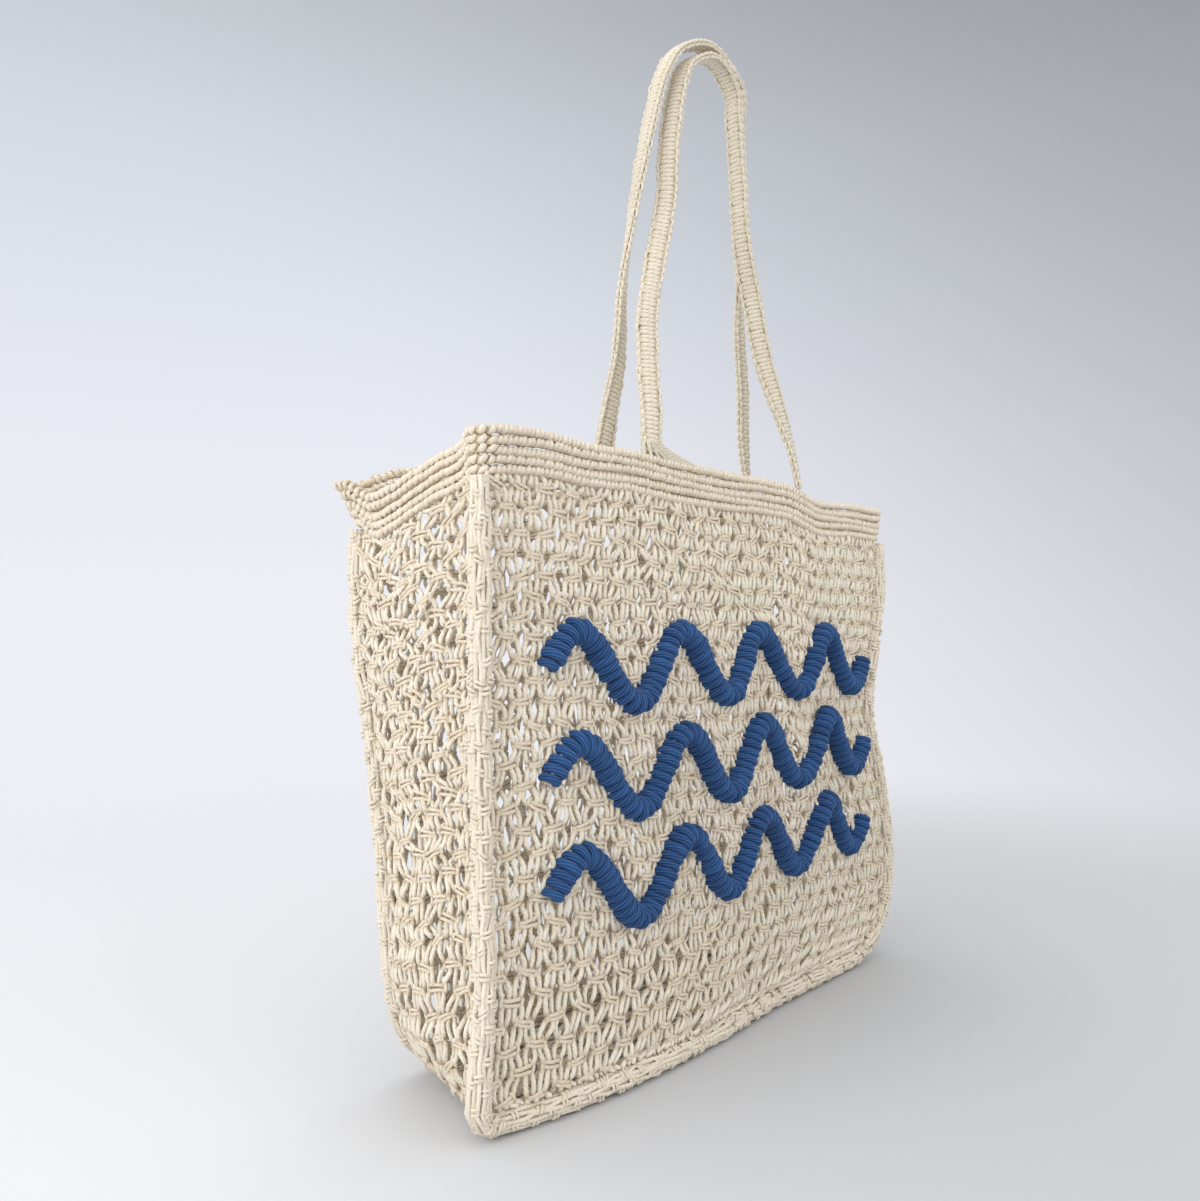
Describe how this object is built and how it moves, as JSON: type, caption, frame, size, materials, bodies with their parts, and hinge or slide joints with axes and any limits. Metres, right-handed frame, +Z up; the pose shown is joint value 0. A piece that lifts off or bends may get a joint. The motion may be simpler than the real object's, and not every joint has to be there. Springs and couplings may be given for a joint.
{
  "type": "beach tote bag",
  "caption": "Open-knotted cotton beach tote with a corded rim, a deep gusset, knotted shoulder straps and stitched waves.",
  "frame": {"origin": "middle of the base, on the surface the bag stands on", "axes": "+Z up, the front panel with the stitched waves faces -Y, +X runs to the right as seen from the front"},
  "size_m": [0.4633, 0.1444, 0.6435],
  "materials": {
    "cotton_net": "matte knotted cotton cord",
    "cotton_cord": "matte cotton cord laid in rows",
    "blue_yarn": "matte blue yarn wrapped in rolls"
  },
  "bodies": {
    "root": {"front_panel": "cotton_net", "back_panel": "cotton_net", "gusset": "cotton_net", "front_seam": "cotton_cord", "back_seam": "cotton_cord", "rim_band": "cotton_cord", "front_strap": "cotton_cord", "back_strap": "cotton_cord", "wave_1": "blue_yarn", "wave_2": "blue_yarn", "wave_3": "blue_yarn"}
  },
  "joints": []
}
